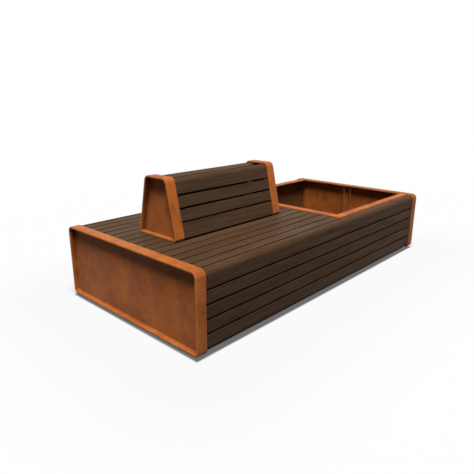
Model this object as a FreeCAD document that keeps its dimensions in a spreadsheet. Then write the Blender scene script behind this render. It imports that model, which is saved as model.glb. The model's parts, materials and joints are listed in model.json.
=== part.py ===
"""Park bench with a slatted back-to-back backrest and a built-in steel planter.

The bench is an island: it can be sat on from both long sides and from the left end. X runs
along it towards the planter, Y runs across it and Z points up. The origin lies on the ground
under the middle of the bench. Every length is in millimetres.
"""
import FreeCAD, Part
import os
import re

import Sketcher
from FreeCAD import Placement, Rotation, Vector

SIZES = {
    # Whole bench
    "overall_length": 2400.0,
    "overall_width": 1150.0,
    "seat_height": 450.0,
    "ground_gap": 15.0,
    # End bands of flat bar, the sheet panels inside them and the panels' stiffeners
    "bar_width": 63.0,
    "bar_thickness": 12.0,
    "band_head_bend": 23.0,
    "band_foot_bend": 12.0,
    "panel_thickness": 5.0,
    "panel_recess": 30.0,
    "weld_gap": 0.2,
    "channel_width": 65.0,
    "channel_depth": 25.0,
    "channel_wall": 4.0,
    "channel_offset": 20.0,
    # Timber boards
    "seat_board_count": 14,
    "side_board_count": 4,
    "board_thickness": 36.0,
    "board_gap": 11.0,
    "board_inset": 6.0,
    "board_end_gap": 3.0,
    "arris_radius": 1.5,
    "nose_radius": 30.0,
    "edge_board_height": 95.5,
    "side_board_margin": 31.0,
    # Planter
    "planter_length": 1083.0,
    "planter_side_gap": 18.0,
    "sheet_thickness": 5.0,
    "fold_bend": 1.0,
    "rim_width": 50.0,
    "rim_end_gap": 1.0,
    "drain_radius": 10.0,
    "drain_count": 3,
    # Backrest
    "backrest_start": 232.0,
    "backrest_end_gap": 180.0,
    "backrest_height": 343.0,
    "backrest_foot_half": 166.0,
    "backrest_head_half": 90.0,
    "backrest_head_bend": 21.0,
    "backrest_foot_bend": 6.0,
    "backrest_board_count": 2,
    "backrest_board_width": 63.7,
    "backrest_lowest_top": 97.0,
    "backrest_cap_top": 347.5,
    "backrest_cap_thickness": 78.0,
    "former_width": 40.0,
    "former_tongue": 70.0,
    # Hidden steel frame
    "rail_width": 80.0,
    "tie_height": 30.0,
    "tube_size": 40.0,
    "tube_wall": 3.0,
    "planter_tie_count": 3,
    # Feet and anchor brackets
    "foot_radius": 22.0,
    "foot_thickness": 4.0,
    "foot_margin": 110.0,
    "feet_per_rail": 3,
    "stud_radius": 6.0,
    "stud_length": 42.0,
    "thread_gap": 0.1,
    "anchor_margin": 165.0,
    "anchor_width": 60.0,
    "anchor_reach": 60.0,
    "anchor_height": 48.0,
    "anchor_thickness": 6.0,
    "anchor_hole_inset": 38.0,
    "anchor_hole_radius": 7.0,
}

# Levels above the ground
TIMBER_TOP = "(seat_height - board_inset)"
SEAT_UNDERSIDE = "(seat_height - board_inset - board_thickness)"
BAND_FLOOR = "(ground_gap + bar_thickness)"
RAIL_TOP = "(ground_gap + bar_thickness + tie_height)"
EDGE_BOARD_FOOT = "(seat_height - board_inset - edge_board_height)"
SIDE_BOARD_FOOT = "(ground_gap + side_board_margin)"

# Distances along the bench
PANEL_INSET = "(bar_thickness + weld_gap)"
PANEL_X = "(overall_length / 2 - panel_recess - panel_thickness)"
BAND_X = "(overall_length / 2 - bar_width)"
BOARD_X = "(overall_length / 2 - bar_width - board_end_gap)"
PLANTER_X = "(overall_length / 2 - planter_length)"
BACKREST_LEFT_X = "(backrest_start - overall_length / 2)"
BACKREST_RIGHT_X = "(overall_length / 2 - planter_length - backrest_end_gap)"
PLANTER_TIES_X = [
    f"({PLANTER_X} + {number} / planter_tie_count * planter_length + tube_size / 2)"
    for number in range(int(SIZES["planter_tie_count"]))
]
BEARERS_X = (
    f"({BACKREST_LEFT_X} + bar_width / 2)",
    f"(({BACKREST_LEFT_X} + {BACKREST_RIGHT_X}) / 2)",
    f"({BACKREST_RIGHT_X} - bar_width / 2)",
)

# Distances across the bench
BOARD_FACE_Y = "(overall_width / 2 - board_inset)"
BOARD_BACK_Y = "(overall_width / 2 - board_inset - board_thickness)"
PLANTER_Y = "(overall_width / 2 - board_inset - board_thickness - planter_side_gap)"
RAIL_MID_Y = f"({BOARD_BACK_Y} - rail_width / 2)"
RAIL_BACK_Y = f"({BOARD_BACK_Y} - rail_width)"

# Boards: widths that fill the room left between the gaps
SEAT_BOARD_WIDTH = f"((2 * {BOARD_BACK_Y} - (seat_board_count + 1) * board_gap) / seat_board_count)"
SEAT_PITCH = f"({SEAT_BOARD_WIDTH} + board_gap)"
SIDE_PITCH = f"(({EDGE_BOARD_FOOT} - {SIDE_BOARD_FOOT}) / side_board_count)"

# Slope of the backrest's faces, measured from the vertical
SLOPE_TAN = "((backrest_foot_half - backrest_head_half) / backrest_height)"
SLOPE = f"atan({SLOPE_TAN})"
SLOPE_SIN = f"sin({SLOPE})"
SLOPE_COS = f"cos({SLOPE})"
TIMBER_BACK = "(board_inset + board_thickness)"
CAP_BACK = "(board_inset + backrest_cap_thickness)"
CAP_FOOT = (
    "(backrest_lowest_top + board_gap"
    " + backrest_board_count * (backrest_board_width + board_gap))"
)

PLANES = {
    "XY_Plane": (Vector(1, 0, 0), Vector(0, 1, 0)),
    "XZ_Plane": (Vector(1, 0, 0), Vector(0, 0, 1)),
    "YZ_Plane": (Vector(0, 1, 0), Vector(0, 0, 1)),
}
SIDES = {"front": -1, "back": 1}
CORNERS = {"foot": slice(0, 2), "head": slice(2, 4)}
TOLERANCE = 1e-4

doc = FreeCAD.newDocument("bench_with_planter")


# ---------------------------------------------------------------- sizes and expressions


def write_sizes():
    """Enter every driving size in the spreadsheet under its own name."""
    sheet = doc.addObject("Spreadsheet::Sheet", "Sizes")
    for row, (name, size) in enumerate(SIZES.items(), start=1):
        sheet.set(f"A{row}", name)
        sheet.set(f"B{row}", str(size))
        sheet.setAlias(f"B{row}", name)
    doc.recompute()
    return sheet


def bound(text):
    """Point every size named in an expression at the spreadsheet."""
    return re.sub(r"\b(" + "|".join(SIZES) + r")\b", r"Sizes.\1", text)


def value(text):
    """Work out an expression in millimetres or plain numbers."""
    result = sizes.evalExpression(bound(text))
    return float(getattr(result, "Value", result))


def signed(side, text):
    """Return an expression for the front (-1) or the back (+1) of the bench."""
    return f"{side} * ({text})"


def bind(item, prop, text):
    """Drive one property of an object by an expression."""
    item.setExpression(prop, bound(text))


def place(item, x="0", y="0", z="0", tilt=None):
    """Set an object's position and, where given, its tilt about X."""
    if tilt is not None:
        item.Placement = Placement(Vector(), Rotation(Vector(1, 0, 0), 10))
        bind(item, "Placement.Rotation.Angle", tilt)
    bind(item, "Placement.Base.x", x)
    bind(item, "Placement.Base.y", y)
    bind(item, "Placement.Base.z", z)
    doc.recompute()
    return item


# ---------------------------------------------------------------- outlines


def rectangle(left, right, low, high):
    """Corners of an upright rectangle, counter-clockwise from its lower left."""
    return [(left, low), (right, low), (right, high), (left, high)]


def tube_section(left, right, low, high):
    """Outer and inner outline of a rectangular hollow section."""
    inside = rectangle(
        f"{left} + tube_wall", f"{right} - tube_wall", f"{low} + tube_wall", f"{high} - tube_wall"
    )
    return [rectangle(left, right, low, high), inside]


def trapezoid(inset):
    """Corners of the backrest's end outline, moved inwards by an inset on all four sides."""
    foot = f"(backrest_foot_half - ({inset}) * ({SLOPE_TAN} + 1 / {SLOPE_COS}))"
    head = f"(backrest_head_half + ({inset}) * ({SLOPE_TAN} - 1 / {SLOPE_COS}))"
    low = f"{TIMBER_TOP} + {inset}"
    high = f"{TIMBER_TOP} + backrest_height - ({inset})"
    return [(f"-{foot}", low), (foot, low), (head, high), (f"-{head}", high)]


def on_slope(side, along, inset):
    """Point at a distance up the backrest's slope and at a depth below its face."""
    across = f"backrest_foot_half - ({along}) * {SLOPE_SIN} - {inset} * {SLOPE_COS}"
    height = f"{TIMBER_TOP} + ({along}) * {SLOPE_COS} - {inset} * {SLOPE_SIN}"
    return signed(side, across), height


# ---------------------------------------------------------------- features


def new_body(name):
    """Start the body of one piece."""
    body = doc.addObject("PartDesign::Body", name)
    body.Label = name
    doc.recompute()
    return body


def new_sketch(body, name, role, level="0"):
    """Open a sketch on one of the body's own planes, raised along the plane's normal."""
    sketch = body.newObject("Sketcher::SketchObject", name)
    plane = next(item for item in body.Origin.OriginFeatures if item.Role == role)
    sketch.AttachmentSupport = (plane, [""])
    sketch.MapMode = "FlatFace"
    bind(sketch, "AttachmentOffset.Base.z", level)
    return sketch


def pin_point(sketch, geometry, point, across, up):
    """Tie one sketch point to the origin by two driven distances."""
    for kind, text, axis in (("DistanceX", across, -2), ("DistanceY", up, -1)):
        distance = value(text)
        if abs(distance) < TOLERANCE:
            sketch.addConstraint(Sketcher.Constraint("PointOnObject", geometry, point, axis))
            continue
        rule = Sketcher.Constraint(kind, -1, 1, geometry, point, distance)
        bind(sketch, f"Constraints[{sketch.addConstraint(rule)}]", text)


def draw_loops(body, name, role, loops, level="0"):
    """Sketch closed, straight-sided loops whose corners are pairs of expressions."""
    sketch = new_sketch(body, name, role, level)
    for loop in loops:
        first = sketch.GeometryCount
        corners = [Vector(value(across), value(up), 0) for across, up in loop]
        for start, end in zip(corners, corners[1:] + corners[:1]):
            sketch.addGeometry(Part.LineSegment(start, end))
        for index, (across, up) in enumerate(loop):
            following = first + (index + 1) % len(loop)
            sketch.addConstraint(Sketcher.Constraint("Coincident", first + index, 2, following, 1))
            pin_point(sketch, first + index, 1, across, up)
    doc.recompute()
    return sketch


def draw_circles(body, name, role, centres, radius, level="0"):
    """Sketch circles of one driven radius."""
    sketch = new_sketch(body, name, role, level)
    for across, up in centres:
        centre = Vector(value(across), value(up), 0)
        circle = sketch.addGeometry(Part.Circle(centre, Vector(0, 0, 1), value(radius)))
        pin_point(sketch, circle, 3, across, up)
        rule = Sketcher.Constraint("Radius", circle, value(radius))
        bind(sketch, f"Constraints[{sketch.addConstraint(rule)}]", radius)
    doc.recompute()
    return sketch


def pad(body, name, sketch, length, both_ways=False):
    """Grow a sketch along its normal, or by half the length to either side."""
    feature = body.newObject("PartDesign::Pad", name)
    feature.Profile = sketch
    feature.SideType = "Symmetric" if both_ways else "One side"
    bind(feature, "Length", length)
    sketch.Visibility = False
    doc.recompute()
    return feature


def cut_through(body, name, sketch):
    """Cut a sketch through the whole piece, to both sides of its plane."""
    feature = body.newObject("PartDesign::Pocket", name)
    feature.Profile = sketch
    feature.SideType = "Symmetric"
    feature.Type = "ThroughAll"
    sketch.Visibility = False
    doc.recompute()
    return feature


def round_corners(body, name, role, corners, radius):
    """Round the edges that stand on the given corners of a plane."""
    across, up = PLANES[role]
    wanted = [(value(left), value(right)) for left, right in corners]
    base = body.Tip
    names = []
    for index, edge in enumerate(base.Shape.Edges, start=1):
        ends = [vertex.Point for vertex in edge.Vertexes]
        for left, right in wanted:
            offsets = [(end.dot(across) - left, end.dot(up) - right) for end in ends]
            if all(abs(a) < TOLERANCE and abs(b) < TOLERANCE for a, b in offsets):
                names.append(f"Edge{index}")
    feature = body.newObject("PartDesign::Fillet", name)
    feature.Base = (base, names)
    bind(feature, "Radius", radius)
    doc.recompute()
    return feature


def group(name, members):
    """Gather identical pieces, each its own solid, in one node."""
    compound = doc.addObject("Part::Compound", name)
    compound.Label = name
    compound.Links = members
    doc.recompute()
    return compound


# ---------------------------------------------------------------- end bands and panels


def bent_ring(name, family, outside, inside, start):
    """Bend flat bar into a closed ring, with tighter bends at the foot than at the head."""
    body = new_body(name)
    ring = draw_loops(body, f"{name}_outline", "YZ_Plane", [outside, inside])
    pad(body, f"{name}_bar", ring, "bar_width")
    for end, corners in CORNERS.items():
        bend = f"{family}_{end}_bend"
        round_corners(body, f"{name}_inner_{end}_bends", "YZ_Plane", inside[corners], bend)
        outer = f"{bend} + bar_thickness"
        round_corners(body, f"{name}_{end}_bends", "YZ_Plane", outside[corners], outer)
    return place(body, x=start)


def closing_sheet(name, family, outline, start):
    """Cut the sheet that closes a ring of flat bar and follows its bends."""
    body = new_body(name)
    sketch = draw_loops(body, f"{name}_outline", "YZ_Plane", [outline])
    pad(body, f"{name}_sheet", sketch, "panel_thickness")
    for end, corners in CORNERS.items():
        radius = f"{family}_{end}_bend - weld_gap"
        round_corners(body, f"{name}_{end}_corners", "YZ_Plane", outline[corners], radius)
    return place(body, x=start)


def end_outline(inset):
    """Corners of the bench's end outline, moved inwards by an inset on all four sides."""
    half = f"(overall_width / 2 - {inset})"
    return rectangle(f"-{half}", half, f"(ground_gap + {inset})", f"(seat_height - {inset})")


def end_band(name, start):
    """Bend one end band, which frames the end of the bench."""
    return bent_ring(name, "band", end_outline("0"), end_outline("bar_thickness"), start)


def end_panel(name, start):
    """Cut the sheet that closes an end band."""
    return closing_sheet(name, "band", end_outline(PANEL_INSET), start)


def panel_channel(name, side, foot):
    """Fold the U-shaped stiffener that stands against the inner face of an end panel."""
    body = new_body(name)
    web = signed(side, PANEL_X)
    web_front = signed(side, f"{PANEL_X} - channel_wall")
    tips = signed(side, f"{PANEL_X} - channel_depth")
    left = "channel_offset - channel_width / 2"
    right = "channel_offset + channel_width / 2"
    outline = [
        (web, left),
        (web, right),
        (tips, right),
        (tips, f"{right} - channel_wall"),
        (web_front, f"{right} - channel_wall"),
        (web_front, f"{left} + channel_wall"),
        (tips, f"{left} + channel_wall"),
        (tips, left),
    ]
    sketch = draw_loops(body, f"{name}_section", "XY_Plane", [outline], level=foot)
    pad(body, f"{name}_length", sketch, f"seat_height - bar_thickness - ({foot})")
    return body


# ---------------------------------------------------------------- boards


def board(name, outline, start, length, nose=None):
    """Plane one board: a straight section with eased edges and, at will, one rounded nose."""
    body = new_body(name)
    sketch = draw_loops(body, f"{name}_section", "YZ_Plane", [outline])
    pad(body, f"{name}_length", sketch, length)
    eased = [corner for corner in outline if corner != nose]
    if nose is not None:
        round_corners(body, f"{name}_nose", "YZ_Plane", [nose], "nose_radius")
    round_corners(body, f"{name}_arrises", "YZ_Plane", eased, "arris_radius")
    return place(body, x=start)


def seat_board(number):
    """Make one of the long seat boards, counted from the front."""
    low = f"({number - 1} * {SEAT_PITCH} + board_gap - {BOARD_BACK_Y})"
    outline = rectangle(low, f"{low} + {SEAT_BOARD_WIDTH}", SEAT_UNDERSIDE, TIMBER_TOP)
    length = f"{PLANTER_X} - board_end_gap + {BOARD_X}"
    return board(f"seat_board_{number:02d}", outline, f"-{BOARD_X}", length)


def side_board(name, side, number):
    """Make one of the boards on a long side, counted from the lowest."""
    low = f"({SIDE_BOARD_FOOT} + {number - 1} * {SIDE_PITCH})"
    outline = rectangle(
        signed(side, BOARD_FACE_Y), signed(side, BOARD_BACK_Y), low, f"{low} + {SIDE_PITCH} - board_gap"
    )
    return board(name, outline, f"-{BOARD_X}", f"2 * {BOARD_X}")


def edge_board(name, side):
    """Make the board at the edge of the seat, with its rounded nose to the outside."""
    face = signed(side, BOARD_FACE_Y)
    outline = rectangle(face, signed(side, BOARD_BACK_Y), EDGE_BOARD_FOOT, TIMBER_TOP)
    return board(name, outline, f"-{BOARD_X}", f"2 * {BOARD_X}", nose=(face, TIMBER_TOP))


# ---------------------------------------------------------------- planter


def mitre_triangle(side, direction):
    """Corners of the wedge that mitres a wall end; direction is +1 for a wall along X."""
    over = "rim_width / 5"
    outer = f"{PLANTER_Y} + {over}"
    inner = f"{PLANTER_Y} - rim_width - {over}"
    shift = "weld_gap"
    if direction > 0:
        corner = (f"{shift} - {over}", signed(side, inner))
    else:
        outer = f"{outer} - {shift}"
        inner = f"{inner} - {shift}"
        shift = "0"
        corner = (f"rim_width + {over}", signed(side, outer))
    return [
        (f"{shift} - {over}", signed(side, outer)),
        (f"{shift} + rim_width + {over}", signed(side, inner)),
        corner,
    ]


def planter_long_wall(name, side):
    """Fold a long wall with its rim, mitred at the seat and notched under the end band."""
    body = new_body(name)
    face = signed(side, PLANTER_Y)
    back = signed(side, f"{PLANTER_Y} - sheet_thickness")
    lip = signed(side, f"{PLANTER_Y} - rim_width")
    under = "seat_height - sheet_thickness"
    section = [
        (face, RAIL_TOP), (face, "seat_height"), (lip, "seat_height"),
        (lip, under), (back, under), (back, RAIL_TOP),
    ]
    sketch = draw_loops(body, f"{name}_section", "YZ_Plane", [section])
    pad(body, f"{name}_sheet", sketch, f"{PANEL_X} - {PLANTER_X}")
    round_corners(body, f"{name}_fold", "YZ_Plane", section[1:2], "fold_bend + sheet_thickness")
    round_corners(body, f"{name}_inner_fold", "YZ_Plane", section[4:5], "fold_bend")
    wedge = mitre_triangle(side, 1)
    cut_through(body, f"{name}_mitre", draw_loops(body, f"{name}_wedge", "XY_Plane", [wedge]))
    notch = rectangle(
        f"{BAND_X} - rim_end_gap - {PLANTER_X}", "planter_length",
        "seat_height - bar_thickness", "seat_height + bar_thickness",
    )
    cut_through(body, f"{name}_notch", draw_loops(body, f"{name}_corner", "XZ_Plane", [notch]))
    return place(body, x=PLANTER_X)


def planter_seat_wall(name):
    """Fold the wall between the planter and the seat, mitred at both ends."""
    body = new_body(name)
    under = "seat_height - sheet_thickness"
    section = [
        ("0", RAIL_TOP), ("0", "seat_height"), ("rim_width", "seat_height"),
        ("rim_width", under), ("sheet_thickness", under), ("sheet_thickness", RAIL_TOP),
    ]
    sketch = draw_loops(body, f"{name}_section", "XZ_Plane", [section])
    pad(body, f"{name}_sheet", sketch, f"2 * {PLANTER_Y}", both_ways=True)
    round_corners(body, f"{name}_fold", "XZ_Plane", section[1:2], "fold_bend + sheet_thickness")
    round_corners(body, f"{name}_inner_fold", "XZ_Plane", section[4:5], "fold_bend")
    wedges = [mitre_triangle(side, -1) for side in SIDES.values()]
    cut_through(body, f"{name}_mitres", draw_loops(body, f"{name}_wedges", "XY_Plane", wedges))
    return place(body, x=PLANTER_X)


def planter_floor(name):
    """Cut the planter's floor with two rows of drain holes."""
    body = new_body(name)
    length = f"({PANEL_X} - {PLANTER_X} - sheet_thickness)"
    half = f"{PLANTER_Y} - sheet_thickness"
    outline = rectangle("0", length, f"-({half})", half)
    sketch = draw_loops(body, f"{name}_outline", "XY_Plane", [outline], level=RAIL_TOP)
    pad(body, f"{name}_sheet", sketch, "sheet_thickness")
    pitch = f"{length} / drain_count"
    row = [(f"{pitch} / 2", signed(side, f"{PLANTER_Y} / 2")) for side in SIDES.values()]
    holes = draw_circles(body, f"{name}_drains", "XY_Plane", row, "drain_radius")
    first = cut_through(body, f"{name}_first_drains", holes)
    pattern = body.newObject("PartDesign::LinearPattern", f"{name}_drain_rows")
    pattern.Originals = [first]
    pattern.Direction = (holes, ["H_Axis"])
    bind(pattern, "Length", f"{length} - {pitch}")
    bind(pattern, "Occurrences", "drain_count")
    body.Tip = pattern
    doc.recompute()
    return place(body, x=f"{PLANTER_X} + sheet_thickness")


# ---------------------------------------------------------------- backrest


def backrest_band(name, start):
    """Bend one end band of the backrest: wide at the foot, close at the head."""
    return bent_ring(name, "backrest", trapezoid("0"), trapezoid("bar_thickness"), start)


def backrest_panel(name, start):
    """Cut the sheet that closes one end of the backrest."""
    return closing_sheet(name, "backrest", trapezoid(PANEL_INSET), start)


def backrest_board(name, side, section, nose=None):
    """Make a sloping board; its section is given by (depth below the face, distance up)."""
    outline = [(signed(-side, depth), along) for depth, along in section]
    tip = None if nose is None else (signed(-side, nose[0]), nose[1])
    length = f"{BACKREST_RIGHT_X} - {BACKREST_LEFT_X} - 2 * (bar_width + board_end_gap)"
    body = board(name, outline, "0", length, nose=tip)
    return place(
        body,
        x=f"{BACKREST_LEFT_X} + bar_width + board_end_gap",
        y=signed(side, "backrest_foot_half"),
        z=TIMBER_TOP,
        tilt=signed(side, SLOPE),
    )


def lowest_section():
    """Section of the lowest sloping board, whose foot is cut level above the seat."""
    face_foot = f"(board_gap + board_inset * {SLOPE_SIN}) / {SLOPE_COS}"
    back_foot = f"(board_gap + {TIMBER_BACK} * {SLOPE_SIN}) / {SLOPE_COS}"
    return [
        ("board_inset", face_foot),
        (TIMBER_BACK, back_foot),
        (TIMBER_BACK, "backrest_lowest_top"),
        ("board_inset", "backrest_lowest_top"),
    ]


def backrest_boards(side_name, side):
    """Make the boards on one face of the backrest, from the seat up to the thick cap."""
    boards = [backrest_board(f"backrest_{side_name}_board_1", side, lowest_section())]
    for number in range(int(SIZES["backrest_board_count"])):
        low = f"(backrest_lowest_top + board_gap + {number} * (backrest_board_width + board_gap))"
        section = rectangle("board_inset", TIMBER_BACK, low, f"{low} + backrest_board_width")
        boards.append(backrest_board(f"backrest_{side_name}_board_{number + 2}", side, section))
    cap = rectangle("board_inset", CAP_BACK, CAP_FOOT, "backrest_cap_top")
    nose = ("board_inset", "backrest_cap_top")
    boards.append(backrest_board(f"backrest_{side_name}_cap_board", side, cap, nose=nose))
    return boards


def backrest_former(name, start):
    """Saw the timber former inside the backrest that the boards are screwed to."""
    body = new_body(name)
    outline = []
    for side in SIDES.values():
        half = [
            (signed(side, f"backrest_foot_half - {TIMBER_BACK} / {SLOPE_COS}"), TIMBER_TOP),
            on_slope(side, CAP_FOOT, TIMBER_BACK),
            on_slope(side, CAP_FOOT, CAP_BACK),
            on_slope(side, f"{CAP_FOOT} + former_tongue", CAP_BACK),
        ]
        outline += half if side < 0 else half[::-1]
    sketch = draw_loops(body, f"{name}_outline", "YZ_Plane", [outline])
    pad(body, f"{name}_block", sketch, "former_width")
    return place(body, x=start)


# ---------------------------------------------------------------- hidden frame


def base_rail(name, side):
    """Cut a base rail and drill its underside for the studs of the feet."""
    body = new_body(name)
    section = tube_section(signed(side, RAIL_MID_Y) + " - rail_width / 2",
                           signed(side, RAIL_MID_Y) + " + rail_width / 2", "foot_thickness", RAIL_TOP)
    sketch = draw_loops(body, f"{name}_section", "YZ_Plane", section)
    pad(body, f"{name}_length", sketch, f"2 * {BAND_X}")
    centres = [(f"{x} + {BAND_X}", signed(side, RAIL_MID_Y)) for x in feet_x()]
    holes = draw_circles(
        body, f"{name}_holes", "XY_Plane", centres, "stud_radius + thread_gap",
        level="foot_thickness + tube_wall",
    )
    drilling = body.newObject("PartDesign::Pocket", f"{name}_drilling")
    drilling.Profile = holes
    bind(drilling, "Length", "tube_wall")
    doc.recompute()
    return place(body, x=f"-{BAND_X}")


def cross_tube(name, x, low, height, length):
    """Cut a hollow tube that runs across the bench, centred on its middle plane."""
    body = new_body(name)
    section = tube_section("-tube_size / 2", "tube_size / 2", low, f"{low} + {height}")
    sketch = draw_loops(body, f"{name}_section", "XZ_Plane", section)
    pad(body, f"{name}_length", sketch, length, both_ways=True)
    return place(body, x=x)


def cross_bearer(number, x):
    """Make one of the bearers that carry the seat boards."""
    name = f"cross_bearer_{number}"
    low = f"({SEAT_UNDERSIDE} - tube_size)"
    return cross_tube(name, x, low, "tube_size", f"2 * {BOARD_BACK_Y}")


def frame_post(name, x, side):
    """Cut a post that stands on a base rail and carries the end of a bearer."""
    body = new_body(name)
    half = "tube_size / 2"
    section = tube_section(f"-{half}", half, f"-{half}", half)
    sketch = draw_loops(body, f"{name}_section", "XY_Plane", section)
    pad(body, f"{name}_length", sketch, f"{SEAT_UNDERSIDE} - tube_size - {RAIL_TOP}")
    return place(body, x=x, y=signed(side, f"{BOARD_BACK_Y} - tube_size / 2"), z=RAIL_TOP)


def planter_spacer(name, x, side):
    """Cut a bar that stands between a planter wall and the boards and carries the boards."""
    body = new_body(name)
    half = "tube_size / 2"
    near, far = signed(side, PLANTER_Y), signed(side, BOARD_BACK_Y)
    sketch = draw_loops(
        body, f"{name}_section", "XY_Plane", [rectangle(f"-{half}", half, near, far)]
    )
    pad(body, f"{name}_length", sketch, f"{SEAT_UNDERSIDE} - {RAIL_TOP}")
    return place(body, x=x, z=RAIL_TOP)


def cross_ties():
    """Make the ties between the base rails, under the bearers and under the planter."""
    ties = [
        cross_tube(f"cross_tie_{number}", x, BAND_FLOOR, "tie_height", f"2 * {RAIL_BACK_Y}")
        for number, x in enumerate([*BEARERS_X, *PLANTER_TIES_X], start=1)
    ]
    return group("cross_ties", ties)


# ---------------------------------------------------------------- feet and anchors


def feet_x():
    """Positions of the feet along a rail."""
    steps = "(feet_per_rail - 1)"
    reach = f"({PANEL_X} - foot_margin)"
    return [f"(2 * {n} / {steps} - 1) * {reach}" for n in range(int(SIZES["feet_per_rail"]))]


def levelling_foot(name, x, y):
    """Turn a foot: a round pad and the stud that screws into the rail."""
    body = new_body(name)
    half_section = [
        ("0", "0"), ("foot_radius", "0"), ("foot_radius", "foot_thickness"),
        ("stud_radius", "foot_thickness"), ("stud_radius", "foot_thickness + stud_length"),
        ("0", "foot_thickness + stud_length"),
    ]
    sketch = draw_loops(body, f"{name}_section", "XZ_Plane", [half_section])
    turning = body.newObject("PartDesign::Revolution", f"{name}_turning")
    turning.Profile = sketch
    turning.ReferenceAxis = (sketch, ["V_Axis"])
    turning.Angle = 360
    doc.recompute()
    return place(body, x=x, y=y)


def levelling_feet():
    """Make the feet under both rails."""
    members = [
        levelling_foot(f"{side_name}_foot_{number}", x, signed(side, RAIL_MID_Y))
        for side_name, side in SIDES.items()
        for number, x in enumerate(feet_x(), start=1)
    ]
    return group("levelling_feet", members)


def anchor_bracket(name, x, side):
    """Fold a bracket that is welded to a rail and holds the bench to the ground."""
    body = new_body(name)
    heel = signed(side, RAIL_BACK_Y)
    upright = signed(side, f"{RAIL_BACK_Y} - anchor_thickness")
    toe = signed(side, f"{RAIL_BACK_Y} - anchor_reach")
    section = [
        (heel, "0"), (heel, "anchor_height"), (upright, "anchor_height"),
        (upright, "anchor_thickness"), (toe, "anchor_thickness"), (toe, "0"),
    ]
    sketch = draw_loops(body, f"{name}_section", "YZ_Plane", [section])
    pad(body, f"{name}_width", sketch, "anchor_width", both_ways=True)
    round_corners(body, f"{name}_fold", "YZ_Plane", section[:1], "anchor_thickness")
    centre = [("0", signed(side, f"{RAIL_BACK_Y} - anchor_hole_inset"))]
    hole = draw_circles(body, f"{name}_hole", "XY_Plane", centre, "anchor_hole_radius")
    cut_through(body, f"{name}_drilling", hole)
    return place(body, x=x)


def anchor_brackets():
    """Make the four ground anchors."""
    members = []
    for side_name, side in SIDES.items():
        for end_name, end in (("left", -1), ("right", 1)):
            x = signed(end, f"{PANEL_X} - anchor_margin")
            members.append(anchor_bracket(f"{side_name}_{end_name}_anchor", x, side))
    return group("anchor_brackets", members)


# ---------------------------------------------------------------- assembly


def build_ends():
    """Make both end bands with their panels and stiffeners."""
    return [
        end_band("left_end_band", "-overall_length / 2"),
        end_band("right_end_band", BAND_X),
        end_panel("left_end_panel", f"-{PANEL_X} - panel_thickness"),
        end_panel("right_end_panel", PANEL_X),
        panel_channel("left_panel_channel", -1, BAND_FLOOR),
        panel_channel("right_panel_channel", 1, f"{RAIL_TOP} + sheet_thickness"),
    ]


def build_timber():
    """Make the seat boards and both long sides."""
    pieces = [seat_board(number + 1) for number in range(int(SIZES["seat_board_count"]))]
    for side_name, side in SIDES.items():
        pieces.append(edge_board(f"{side_name}_edge_board", side))
        for number in range(1, int(SIZES["side_board_count"]) + 1):
            pieces.append(side_board(f"{side_name}_board_{number}", side, number))
    return pieces


def build_planter():
    """Make the planter's folded walls and its floor."""
    walls = [planter_long_wall(f"planter_{name}_wall", side) for name, side in SIDES.items()]
    return walls + [planter_seat_wall("planter_seat_wall"), planter_floor("planter_floor")]


def build_backrest():
    """Make the backrest's bands, panels, boards and formers."""
    right_band = f"{BACKREST_RIGHT_X} - bar_width"
    right_panel = f"{BACKREST_RIGHT_X} - panel_recess - panel_thickness"
    near = "(bar_width + 2 * board_end_gap)"
    pieces = [
        backrest_band("backrest_left_band", BACKREST_LEFT_X),
        backrest_band("backrest_right_band", right_band),
        backrest_panel("backrest_left_panel", f"{BACKREST_LEFT_X} + panel_recess"),
        backrest_panel("backrest_right_panel", right_panel),
        backrest_former("backrest_left_former", f"{BACKREST_LEFT_X} + {near}"),
        backrest_former("backrest_right_former", f"{BACKREST_RIGHT_X} - {near} - former_width"),
    ]
    for side_name, side in SIDES.items():
        pieces += backrest_boards(side_name, side)
    return pieces


def build_frame():
    """Make the hidden steel frame with its feet and anchors."""
    pieces = [base_rail(f"{name}_base_rail", side) for name, side in SIDES.items()]
    pieces += [cross_bearer(number, x) for number, x in enumerate(BEARERS_X, start=1)]
    posts = [
        frame_post(f"{name}_post_{number}", x, side)
        for name, side in SIDES.items()
        for number, x in enumerate(BEARERS_X, start=1)
    ]
    posts += [
        planter_spacer(f"{name}_spacer_{number}", x, side)
        for name, side in SIDES.items()
        for number, x in enumerate(PLANTER_TIES_X, start=1)
    ]
    return pieces + [group("frame_posts", posts), cross_ties(), levelling_feet(), anchor_brackets()]


def write_pieces(pieces):
    """Check every object of the document, then write each piece to its own file."""
    for item in doc.Objects:
        if "Invalid" in item.State or "Error" in item.State:
            raise RuntimeError(f"{item.Name}: {item.State}")
    os.makedirs("parts", exist_ok=True)
    for piece in pieces:
        shape = piece.Shape
        if shape.isNull() or not shape.isValid() or not shape.Solids:
            raise RuntimeError(f"{piece.Label}: no valid solid")
        shape.exportStep(f"parts/{piece.Label}.step")


sizes = write_sizes()
all_pieces = build_ends() + build_timber() + build_planter() + build_backrest() + build_frame()
doc.recompute()
write_pieces(all_pieces)
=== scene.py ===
"""Looks of the park bench with its planter: finishes, fasteners, floor, light and camera.

Lengths are in metres. X runs along the bench towards the planter, Y runs across it and Z
points up from the ground.
"""

from __future__ import annotations

import json
import logging
import math
from dataclasses import dataclass, field
from enum import Enum
from typing import Any, Iterator, Sequence

import bpy
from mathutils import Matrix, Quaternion, Vector

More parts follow.
